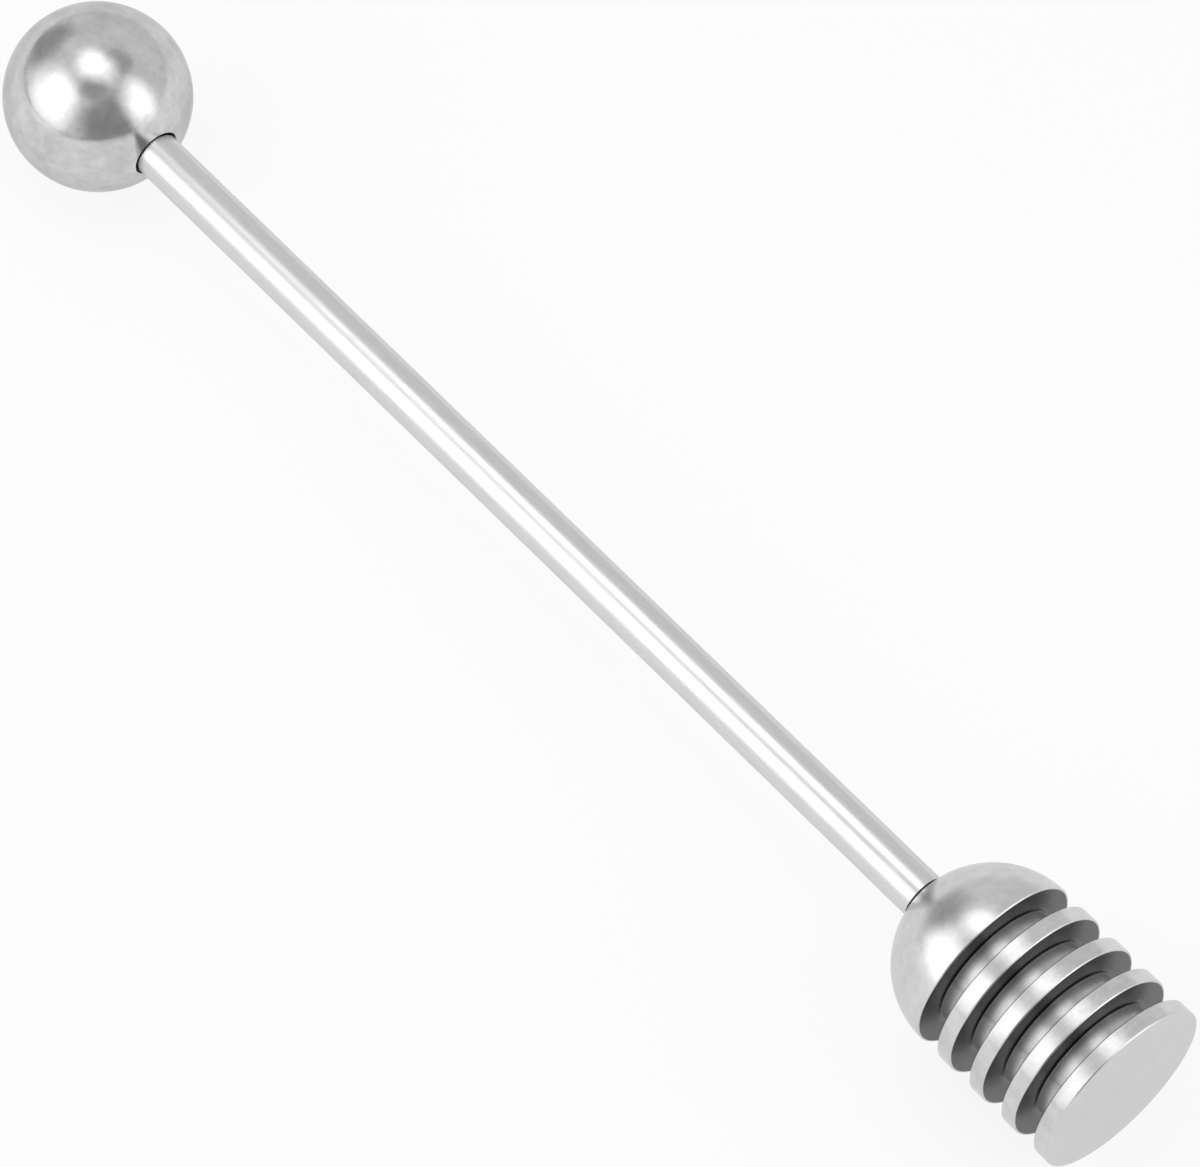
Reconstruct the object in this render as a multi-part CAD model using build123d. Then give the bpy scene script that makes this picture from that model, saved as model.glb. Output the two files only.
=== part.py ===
from build123d import *
import math
import os

# A steel honey dipper, lying on its side along +X: ball at the -X end, grooved head at the +X end.
# Lengths are in millimetres and angles in degrees. The origin is under the middle of the dipper,
# on the surface that the ball and the head rest on, with +Z up.

# Ball
ball_diameter = 20.0

# Rod
rod_diameter = 5.0
rod_body_length = 121.0      # the full-thickness length, from shoulder to shoulder
rod_edge_break = 0.2

# Head
head_diameter = 20.0
groove_count = 4
groove_width = 2.7
groove_depth = 3.0
disc_thickness = 1.8
groove_root_radius = 0.2     # the nose of the grooving tool
rim_edge_break = 0.1         # a 45 degree chamfer on every sharp rim

# Screwed joints, the same at both ends of the rod
shoulder_step = 0.5          # the rod's radius is this much more than its thread's: M4 on a 5 mm rod
thread_length = 6.0
thread_chamfer = 0.6
relief_depth = 0.45          # the turned neck between the shoulder and the thread
relief_width = 1.0
seat_depth = 2.0             # from the top of the round surface down to the rod's shoulder
mouth_clearance = 0.2        # all round the rod, where it goes into its socket
mouth_edge_break = 0.1
thread_clearance = 0.05
bore_spare_depth = 2.0       # below the end of the thread
drill_point_angle = 118.0
overrun = 1.0                # how far every cut runs past the surface that it leaves through

# Worked out from the sizes above
ball_radius = ball_diameter / 2
rod_radius = rod_diameter / 2
head_radius = head_diameter / 2
core_radius = head_radius - groove_depth
thread_radius = rod_radius - shoulder_step
mouth_radius = rod_radius + mouth_clearance
groove_pitch = groove_width + disc_thickness
head_length = head_radius + groove_count * groove_pitch
gap_between_rounds = rod_body_length - 2 * seat_depth
overall_length = ball_diameter + gap_between_rounds + head_length

# Places along the dipper
ball_centre_x = ball_radius - overall_length / 2
ball_seat_x = ball_centre_x + ball_radius - seat_depth
head_crown_x = ball_centre_x + ball_radius + gap_between_rounds
head_seat_x = head_crown_x + seat_depth
axis_height = max(ball_radius, head_radius)


def turned(profile):
    """A solid of revolution about the X axis."""
    return revolve(profile, axis=Axis.X, revolution_arc=360)


def socket_cut(round_radius):
    """The counterbored, tapped blind hole that takes an end of the rod.

    The rod's shoulder seats at X zero, and the mouth faces +X on a ball of the given radius.
    """
    mouth_x = math.sqrt(round_radius**2 - mouth_radius**2) - (round_radius - seat_depth)
    flare_x = mouth_x - mouth_edge_break
    top_x = mouth_x + overrun
    hole_radius = thread_radius + thread_clearance
    hole_end_x = -(thread_length + bore_spare_depth)
    point_height = hole_radius / math.tan(math.radians(drill_point_angle / 2))
    outline = Polyline(
        (top_x, 0),
        (top_x, mouth_radius + top_x - flare_x),
        (flare_x, mouth_radius),
        (0, mouth_radius),
        (0, hole_radius),
        (hole_end_x, hole_radius),
        (hole_end_x - point_height, 0),
        close=True,
    )
    return turned(make_face(outline))


def ball_knob():
    """The solid ball, centred on the origin, with its socket towards +X."""
    half_disc = make_face([
        ThreePointArc((-ball_radius, 0), (0, ball_radius), (ball_radius, 0)),
        Line((ball_radius, 0), (-ball_radius, 0)),
    ])
    ball = turned(half_disc)
    return ball - Pos(X=ball_radius - seat_depth) * socket_cut(ball_radius)


def handle_rod():
    """The rod, centred on the origin, with a shoulder, a neck and a thread at each end."""
    shoulder_x = rod_body_length / 2
    neck_radius = thread_radius - relief_depth
    neck_end_x = shoulder_x + relief_width
    thread_start_x = neck_end_x + relief_depth
    tip_x = shoulder_x + thread_length
    outline = Polyline(
        (0, 0),
        (0, rod_radius),
        (shoulder_x - rod_edge_break, rod_radius),
        (shoulder_x, rod_radius - rod_edge_break),
        (shoulder_x, neck_radius),
        (neck_end_x, neck_radius),
        (thread_start_x, thread_radius),
        (tip_x - thread_chamfer, thread_radius),
        (tip_x, thread_radius - thread_chamfer),
        (tip_x, 0),
        close=True,
    )
    half_rod = turned(make_face(outline))
    return half_rod + mirror(half_rod, about=Plane.YZ)


def dipper_head():
    """The grooved head, with its dome's crown at the origin and its flat end towards +X."""
    dome_arc = CenterArc((head_radius, 0), head_radius, start_angle=90, arc_size=90)
    steps = [(head_radius, head_radius)]
    for groove in range(groove_count):
        start_x = head_radius + groove * groove_pitch
        steps += [
            (start_x, core_radius),
            (start_x + groove_width, core_radius),
            (start_x + groove_width, head_radius),
            (start_x + groove_pitch, head_radius),
        ]
    steps += [(head_length, 0), (0, 0)]
    profile = make_face([dome_arc, Polyline(steps)])
    profile = fillet(profile.vertices().group_by(Axis.Y)[1], groove_root_radius)
    profile = chamfer(profile.vertices().group_by(Axis.Y)[-1], rim_edge_break)
    head = turned(profile)
    socket = socket_cut(head_radius).mirror(Plane.YZ)
    return head - Pos(X=seat_depth) * socket


sub_parts = {
    "ball_knob": Pos(X=ball_centre_x) * ball_knob(),
    "handle_rod": Pos(X=(ball_seat_x + head_seat_x) / 2) * handle_rod(),
    "dipper_head": Pos(X=head_crown_x) * dipper_head(),
}

os.makedirs("parts", exist_ok=True)
for node, solid in sub_parts.items():
    export_step(Pos(Z=axis_height) * solid, f"parts/{node}.step")
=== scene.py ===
import math

import bpy
from mathutils import Matrix, Vector

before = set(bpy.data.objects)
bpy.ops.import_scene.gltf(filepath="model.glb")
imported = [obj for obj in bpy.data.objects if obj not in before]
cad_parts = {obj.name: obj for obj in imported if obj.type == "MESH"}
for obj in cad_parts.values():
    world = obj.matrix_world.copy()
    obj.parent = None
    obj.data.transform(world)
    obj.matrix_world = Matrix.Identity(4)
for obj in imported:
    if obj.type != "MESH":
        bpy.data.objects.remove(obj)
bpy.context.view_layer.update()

# A steel honey dipper lying on a white table, seen from above its grooved head. Metres throughout.

scene = bpy.context.scene
scene.view_settings.view_transform = "Standard"


def newObject(name, data):
    thing = bpy.data.objects.new(name, data)
    scene.collection.objects.link(thing)
    return thing


def lookAt(thing, target):
    direction = Vector(target) - thing.location
    thing.rotation_euler = direction.to_track_quat("-Z", "Y").to_euler()


def directionOf(azimuth, elevation):
    # degrees, from +X towards +Y, and up from the table
    turn, rise = math.radians(azimuth), math.radians(elevation)
    return Vector((math.cos(turn) * math.cos(rise), math.sin(turn) * math.cos(rise), math.sin(rise)))


def addNode(tree, kind, **settings):
    node = tree.nodes.new(kind)
    for key, value in settings.items():
        setattr(node, key, value)
    return node


def feed(tree, socket, value):
    # a socket takes a link from another node, or a plain value
    if isinstance(value, bpy.types.NodeSocket):
        tree.links.new(value, socket)
    else:
        socket.default_value = value


def mathNode(tree, operation, first, second=0.0):
    node = addNode(tree, "ShaderNodeMath", operation=operation)
    feed(tree, node.inputs[0], first)
    feed(tree, node.inputs[1], second)
    return node.outputs[0]


def productNode(tree, first, *others):
    for value in others:
        first = mathNode(tree, "MULTIPLY", first, value)
    return first


def rampNode(tree, value, low, high, start=0.0, end=1.0):
    # a smooth step from start to end, while the value goes from low to high
    node = addNode(tree, "ShaderNodeMapRange", interpolation_type="SMOOTHSTEP")
    feed(tree, node.inputs["Value"], value)
    for name, number in (("From Min", low), ("From Max", high), ("To Min", start), ("To Max", end)):
        node.inputs[name].default_value = number
    return node.outputs["Result"]


def blendNode(tree, share, first, second):
    # a plain number between two others
    node = addNode(tree, "ShaderNodeMix", data_type="FLOAT")
    feed(tree, node.inputs[0], share)
    feed(tree, node.inputs[2], first)
    feed(tree, node.inputs[3], second)
    return node.outputs[0]


def axesOf(tree, vector):
    # the X, Y and Z of a vector, each one a number
    node = addNode(tree, "ShaderNodeSeparateXYZ")
    tree.links.new(vector, node.inputs[0])
    return node.outputs


def noiseNode(tree, place, scale, detail=2.0, roughness=0.5):
    node = addNode(tree, "ShaderNodeTexNoise")
    feed(tree, node.inputs["Vector"], place)
    for name, number in (("Scale", scale), ("Detail", detail), ("Roughness", roughness)):
        node.inputs[name].default_value = number
    return node.outputs["Fac"]


# Camera: a long lens, so that the ball and the head come out nearly the same size
camera = {
    "target": (0.00681, 0.00005, 0.00989),
    "distance": 0.687,
    "azimuth": -41.5,     # degrees from +X towards +Y
    "elevation": 59.07,
    "lens": 205.5,        # mm
    "sensor": 36,
}

cameraData = bpy.data.cameras.new("photoCamera")
cameraData.lens = camera["lens"]
cameraData.sensor_width = camera["sensor"]
cameraObject = newObject("photoCamera", cameraData)
sight = directionOf(camera["azimuth"], camera["elevation"])
cameraObject.location = Vector(camera["target"]) + sight * camera["distance"]
lookAt(cameraObject, camera["target"])
scene.camera = cameraObject
print("camera placed")

# Lights: a softbox each side and a lamp over the ball, each one fading towards its edge
lamps = {
    # where each one stands, the azimuth and elevation it faces and its turn (in degrees)
    "leftSoftbox": {"at": (-0.126, -0.236, 0.191), "faces": (62, -10.5), "turn": -8,
                    "size": (0.516, 0.551), "radiance": 1.5},
    "rightSoftbox": {"at": (0.319, 0.127, 0.180), "faces": (214, -20.6), "turn": -7.5,
                     "size": (0.457, 0.683), "radiance": 1.5},
    "overheadLamp": {"at": (-0.079, 0.0105, 0.273), "faces": (130, -89.9), "turn": -16,
                     "size": (0.347, 0.244), "radiance": 1.4},
}
lampMiddle = 0.5         # a lamp's own coordinates go from 0 to 1 along each side
lampSquareness = 3.0     # the fading makes an oval at 2 and comes nearer to a rectangle above that


def softLamp(name, lamp):
    data = bpy.data.lights.new(name, "AREA")
    data.shape = "RECTANGLE"
    data.size, data.size_y = lamp["size"]
    data.energy = lamp["radiance"] * math.pi * lamp["size"][0] * lamp["size"][1]
    data.use_nodes = True
    tree = data.node_tree
    place = axesOf(tree, addNode(tree, "ShaderNodeNewGeometry").outputs["Parametric"])
    powers = []
    for side in ("X", "Y"):
        offMiddle = mathNode(tree, "ABSOLUTE", mathNode(tree, "SUBTRACT", place[side], lampMiddle))
        powers.append(mathNode(tree, "POWER", productNode(tree, offMiddle, 1 / lampMiddle), lampSquareness))
    offCentre = mathNode(tree, "POWER", mathNode(tree, "ADD", *powers), 1 / lampSquareness)
    tree.links.new(rampNode(tree, offCentre, 1.0, 0.0), tree.nodes["Emission"].inputs["Strength"])
    thing = newObject(name, data)
    thing.location = lamp["at"]
    azimuth, elevation = lamp["faces"]
    across, back = directionOf(azimuth - 90, 0), -directionOf(azimuth, elevation)
    axes = Matrix((across, back.cross(across), back)).transposed()
    thing.rotation_euler = (axes @ Matrix.Rotation(math.radians(lamp["turn"]), 3, "Z")).to_euler()
    thing.visible_camera = False


for name, lamp in lamps.items():
    softLamp(name, lamp)
print("lamps placed")

# Studio: a pale room with a few darker places, and a thin dark line where the table ends
studio = {
    "wall": 0.78,
    "places": [
        # azimuth, elevation, radius, fade (all in degrees) and brightness
        (-15, 15, 28, 23, 0.37),
        (-40, 66, 8, 15, 0.42),
        (73, 60, 5, 15, 0.47),
        (182, 19, 9, 18, 0.42),
    ],
}
tableEdge = {
    "height": 3.0,        # degrees above the table
    "darkBelow": 0.6,     # the share of that height up to which the line is as dark as it gets
    "brightness": 0.3,
    "middle": -75,        # degrees from +X towards +Y
    "halfWidth": 90,      # degrees
    "endFade": 0.2,       # how far in from its two ends it fades out, as a cosine
}


def towardsNode(tree, direction, goal):
    # 1 straight towards the goal, and less to all sides of it
    node = addNode(tree, "ShaderNodeVectorMath", operation="DOT_PRODUCT")
    tree.links.new(direction, node.inputs[0])
    node.inputs[1].default_value = goal
    return node.outputs["Value"]


world = bpy.data.worlds.new("studio")
scene.world = world
world.use_nodes = True
tree = world.node_tree
direction = addNode(tree, "ShaderNodeTexCoord").outputs["Generated"]
level = studio["wall"]
for azimuth, elevation, radius, fade, brightness in studio["places"]:
    share = rampNode(tree, towardsNode(tree, direction, directionOf(azimuth, elevation)),
                     math.cos(math.radians(radius + fade)), math.cos(math.radians(radius)))
    level = blendNode(tree, share, level, brightness)
top = math.sin(math.radians(tableEdge["height"]))
end = math.cos(math.radians(tableEdge["halfWidth"]))
low = rampNode(tree, axesOf(tree, direction)["Z"], top, top * tableEdge["darkBelow"])
wide = rampNode(tree, towardsNode(tree, direction, directionOf(tableEdge["middle"], 0)),
                end, end + tableEdge["endFade"])
level = blendNode(tree, productNode(tree, low, wide), level, tableEdge["brightness"])
tree.links.new(level, tree.nodes["Background"].inputs["Color"])
print("studio painted")

# Table: white, with only a faint shadow
table = {"size": 6.0, "colour": 0.9, "roughness": 0.9, "whiteShare": 0.85}

bpy.ops.mesh.primitive_plane_add(size=table["size"])
floor = bpy.context.object
floor.name = "table"
whiteTable = bpy.data.materials.new("whiteTable")
whiteTable.use_nodes = True
tree = whiteTable.node_tree
shader = tree.nodes["Principled BSDF"]
shader.inputs["Base Color"].default_value = (table["colour"],) * 3 + (1,)
shader.inputs["Roughness"].default_value = table["roughness"]
shader.inputs["Specular IOR Level"].default_value = 0
white = addNode(tree, "ShaderNodeEmission")
path = addNode(tree, "ShaderNodeLightPath")
mirrored = mathNode(tree, "MAXIMUM", path.outputs["Is Glossy Ray"], path.outputs["Is Transmission Ray"])
seen = mathNode(tree, "MAXIMUM", path.outputs["Is Camera Ray"], mirrored)
mix = addNode(tree, "ShaderNodeMixShader")
tree.links.new(productNode(tree, seen, table["whiteShare"]), mix.inputs[0])
tree.links.new(shader.outputs[0], mix.inputs[1])
tree.links.new(white.outputs[0], mix.inputs[2])
tree.links.new(mix.outputs[0], tree.nodes["Material Output"].inputs["Surface"])
floor.data.materials.append(whiteTable)
print("table laid")


def steelMaterial(name, edgeTint):
    # an edge tint below 1 keeps the steel from going white where it is seen edge on
    material = bpy.data.materials.new(name)
    material.use_nodes = True
    tree = material.node_tree
    shader = tree.nodes["Principled BSDF"]
    shader.inputs["Metallic"].default_value = 1
    shader.inputs["Specular Tint"].default_value = (edgeTint,) * 3 + (1,)
    place = addNode(tree, "ShaderNodeTexCoord").outputs["Object"]
    return material, tree, shader, place


def stretchedNoise(tree, place, stretch, detail, roughness=0.5):
    node = addNode(tree, "ShaderNodeMapping")
    tree.links.new(place, node.inputs["Vector"])
    node.inputs["Scale"].default_value = stretch
    return noiseNode(tree, node.outputs["Vector"], 1.0, detail, roughness)


noiseLow, noiseHigh = 0.3, 0.7     # nearly all of a noise lies between these


def wander(tree, noise, middle, spread):
    # a value that a noise moves by the spread to both sides of the middle
    return rampNode(tree, noise, noiseLow, noiseHigh, middle - spread, middle + spread)


def greyColour(tree, value):
    node = addNode(tree, "ShaderNodeCombineColor")
    for socket in node.inputs:
        feed(tree, socket, value)
    return node.outputs["Color"]


def addBump(tree, shader, *reliefs):
    # each relief is a height and its depth in metres
    below = None
    for height, depth in reliefs:
        node = addNode(tree, "ShaderNodeBump")
        tree.links.new(height, node.inputs["Height"])
        node.inputs["Distance"].default_value = depth
        if below is not None:
            tree.links.new(below, node.inputs["Normal"])
        below = node.outputs["Normal"]
    tree.links.new(below, shader.inputs["Normal"])


def dress(nodeName, material):
    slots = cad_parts[nodeName].data.materials
    slots.clear()
    slots.append(material)


# Ball knob: hand polished, so its shine is a little cloudy and grainy
ball = {
    "edgeTint": 0.75,
    "grey": 0.60,
    "cloud": 0.08,                     # how far the grey wanders
    "clouds": {"scale": 300, "detail": 6.0, "roughness": 0.72},
    "roughness": 0.16,
    "roughnessCloud": 0.06,
    "patches": {"stretch": (420, 160, 160), "detail": 4.0, "roughness": 0.6},
    "waves": 0.00003,                  # depths in metres, each with its scale
    "waveScale": 260,
    "grain": 0.0000012,
    "grainScale": 3500,
}

material, tree, shader, place = steelMaterial("polishedSteel", ball["edgeTint"])
clouds = noiseNode(tree, place, **ball["clouds"])
patches = stretchedNoise(tree, place, **ball["patches"])
cloudyGrey = wander(tree, clouds, ball["grey"], ball["cloud"])
tree.links.new(greyColour(tree, cloudyGrey), shader.inputs["Base Color"])
tree.links.new(wander(tree, patches, ball["roughness"], ball["roughnessCloud"]), shader.inputs["Roughness"])
addBump(tree, shader, (noiseNode(tree, place, ball["waveScale"]), ball["waves"]),
        (noiseNode(tree, place, ball["grainScale"]), ball["grain"]))
dress("ball_knob", material)
print("ball polished")

# Handle rod: bright drawn bar, with painted shade where it goes into the head
rod = {
    "edgeTint": 0.85,
    "grey": 0.67,
    "lineContrast": 0.02,
    "drawLines": {"stretch": (400, 3000, 3000), "detail": 3.0},
    "roughness": 0.24,
    "roughnessSpread": 0.05,
    "patches": {"stretch": (300, 900, 900), "detail": 3.0},
    "grain": 0.0000012,
    "grainScale": 3500,
    "headEnd": 0.05455,                # where the painted shade at the joint starts, along X
    "jointShadeGrey": 0.04,
}

material, tree, shader, place = steelMaterial("drawnSteel", rod["edgeTint"])
drawLines = stretchedNoise(tree, place, **rod["drawLines"])
patches = stretchedNoise(tree, place, **rod["patches"])
brightGrey = wander(tree, drawLines, rod["grey"], rod["lineContrast"])
# painted shade: the end inside the head's mouth is darkened, as the shadow in the joint
paintedJointShade = mathNode(tree, "GREATER_THAN", axesOf(tree, place)["X"], rod["headEnd"])
tree.links.new(greyColour(tree, blendNode(tree, paintedJointShade, brightGrey, rod["jointShadeGrey"])),
               shader.inputs["Base Color"])
tree.links.new(wander(tree, patches, rod["roughness"], rod["roughnessSpread"]), shader.inputs["Roughness"])
addBump(tree, shader, (noiseNode(tree, place, rod["grainScale"]), rod["grain"]))
dress("handle_rod", material)
print("rod drawn")

# Dipper head: turned, with fine lines round its axis, and painted shade darkening the walls, the cores and
# their corners inside the grooves
head = {
    "edgeTint": 0.92,
    "grey": 0.62,
    "lineContrast": 0.015,
    "cloud": 0.06,
    "roughness": 0.20,
    "roughnessSpread": 0.03,
    # the marks: lines close together along the axis and the radius, and drawn out round the axis
    "lineScale": 5000.0,
    "roundScale": 150.0,
    "lineDetail": 3.0,
    "lineDepth": 0.0000003,
    "clouds": {"scale": 280, "detail": 6.0, "roughness": 0.70},
    "waves": 0.00002,
    "waveScale": 300,
    "grain": 0.0000012,
    "grainScale": 3500,
    # the dome, up to domeEnd along X
    "domeEnd": 0.0640,
    "domeFade": 0.0010,
    "domeShare": 0.35,                 # share of the turning lines that still shows on it
    "domeRoughness": 0.25,
    # the grooves
    "axisHeight": 0.010,
    "firstGroove": 0.0645,             # along X
    "groovePitch": 0.0045,
    "grooveWidth": 0.0027,
    "grooveCount": 4,
    "grooveMargin": 0.0002,            # added at both ends of the whole row
    "rimRadius": 0.00985,
    "rimFade": 0.0001,
    "wallFacing": (0.06, 0.30),        # how far a face turns towards the axis to count as a wall
    "wallShadeShare": 0.12,                 # share of the grey that the walls keep, as painted shade in the grooves
    "wallRoughness": 0.25,
    "wallMetal": 0.9,
    "coreRadius": 0.0070,
    "coreFade": (0.0007, 0.0004),      # how far above that the core's finish starts and is whole
    "coreShadeShare": 0.88,                 # share of the grey that the cores keep, as painted shade at the bottom of the grooves
    "coreRoughness": 0.22,
    "coreStretch": 0.8,                # how far the turning lines draw the core's shine out along X
    "stretchTurn": 0.25,               # of a whole turn, from round the axis to along it
    "rootWidth": 0.00012,              # how much of the rounded corner gets the walls' finish and painted shade
    "rootFade": 0.00006,
    # past endFace along X the face is plain, with this share of the marks
    "endFace": 0.0822,
    "endShare": 0.2,
}

material, tree, shader, place = steelMaterial("turnedSteel", head["edgeTint"])
axes = axesOf(tree, place)
along, sideways = axes["X"], axes["Y"]
upwards = mathNode(tree, "SUBTRACT", axes["Z"], head["axisHeight"])
radius = mathNode(tree, "SQRT", mathNode(tree, "ADD", productNode(tree, sideways, sideways),
                                         productNode(tree, upwards, upwards)))

# where each finish and each painted shade is: 1 on it and 0 elsewhere
dome = rampNode(tree, along, head["domeEnd"], head["domeEnd"] - head["domeFade"])
onEndFace = mathNode(tree, "GREATER_THAN", along, head["endFace"])
lastWall = head["firstGroove"] + head["groovePitch"] * (head["grooveCount"] - 1) + head["grooveWidth"]
rowStart, rowEnd = head["firstGroove"] - head["grooveMargin"], lastWall + head["grooveMargin"]
amongGrooves = productNode(tree, mathNode(tree, "GREATER_THAN", along, rowStart),
                           mathNode(tree, "LESS_THAN", along, rowEnd))
facing = axesOf(tree, addNode(tree, "ShaderNodeNewGeometry").outputs["Normal"])
upright = rampNode(tree, mathNode(tree, "ABSOLUTE", facing["X"]), *head["wallFacing"])
insideRim = rampNode(tree, radius, head["rimRadius"], head["rimRadius"] - head["rimFade"])
wall = productNode(tree, upright, insideRim, amongGrooves)
coreStart, coreWhole = (head["coreRadius"] + above for above in head["coreFade"])
core = productNode(tree, amongGrooves, rampNode(tree, radius, coreStart, coreWhole))
intoGroove = mathNode(tree, "MODULO", mathNode(tree, "SUBTRACT", along, head["firstGroove"]),
                      head["groovePitch"])
fromMiddle = mathNode(tree, "ABSOLUTE", mathNode(tree, "SUBTRACT", intoGroove, head["grooveWidth"] / 2))
rootStart = head["grooveWidth"] / 2 - head["rootWidth"]
root = productNode(tree, core, rampNode(tree, fromMiddle, rootStart, rootStart + head["rootFade"]))
# painted shade: the corner where the core meets the wall is darkened like the walls
wall = mathNode(tree, "MAXIMUM", wall, root)

turnedPlace = addNode(tree, "ShaderNodeCombineXYZ")
around = mathNode(tree, "SUBTRACT", sideways, upwards)
scales = (head["lineScale"], head["lineScale"], head["roundScale"])
for socket, distance, scale in zip(turnedPlace.inputs, (along, radius, around), scales):
    tree.links.new(productNode(tree, distance, scale), socket)
turningLines = noiseNode(tree, turnedPlace.outputs[0], 1.0, head["lineDetail"])
lineShare = blendNode(tree, dome, 1.0, head["domeShare"])
clouds = noiseNode(tree, place, **head["clouds"])

lineGrey = productNode(tree, wander(tree, turningLines, 0, head["lineContrast"]), lineShare)
marks = mathNode(tree, "ADD", lineGrey, wander(tree, clouds, 0, head["cloud"]))
marks = productNode(tree, marks, blendNode(tree, onEndFace, 1.0, head["endShare"]))
brightGrey = mathNode(tree, "ADD", marks, head["grey"])
# painted shade: the walls and the cores keep only a share of the grey
share = blendNode(tree, wall, blendNode(tree, core, 1.0, head["coreShadeShare"]), head["wallShadeShare"])
tree.links.new(greyColour(tree, productNode(tree, brightGrey, share)), shader.inputs["Base Color"])

plainRoughness = blendNode(tree, dome, head["roughness"], head["domeRoughness"])
lineRoughness = productNode(tree, wander(tree, turningLines, 0, head["roughnessSpread"]), lineShare)
brightRoughness = mathNode(tree, "ADD", plainRoughness, lineRoughness)
brightRoughness = blendNode(tree, core, brightRoughness, head["coreRoughness"])
tree.links.new(blendNode(tree, wall, brightRoughness, head["wallRoughness"]), shader.inputs["Roughness"])
tree.links.new(blendNode(tree, wall, 1.0, head["wallMetal"]), shader.inputs["Metallic"])
shader.inputs["Specular IOR Level"].default_value = 0
tree.links.new(productNode(tree, core, head["coreStretch"]), shader.inputs["Anisotropic"])
shader.inputs["Anisotropic Rotation"].default_value = head["stretchTurn"]
tangent = addNode(tree, "ShaderNodeTangent", direction_type="RADIAL", axis="X")
tree.links.new(tangent.outputs["Tangent"], shader.inputs["Tangent"])
addBump(tree, shader, (turningLines, head["lineDepth"]),
        (noiseNode(tree, place, head["waveScale"]), head["waves"]),
        (noiseNode(tree, place, head["grainScale"]), head["grain"]))
dress("dipper_head", material)
print("head turned")
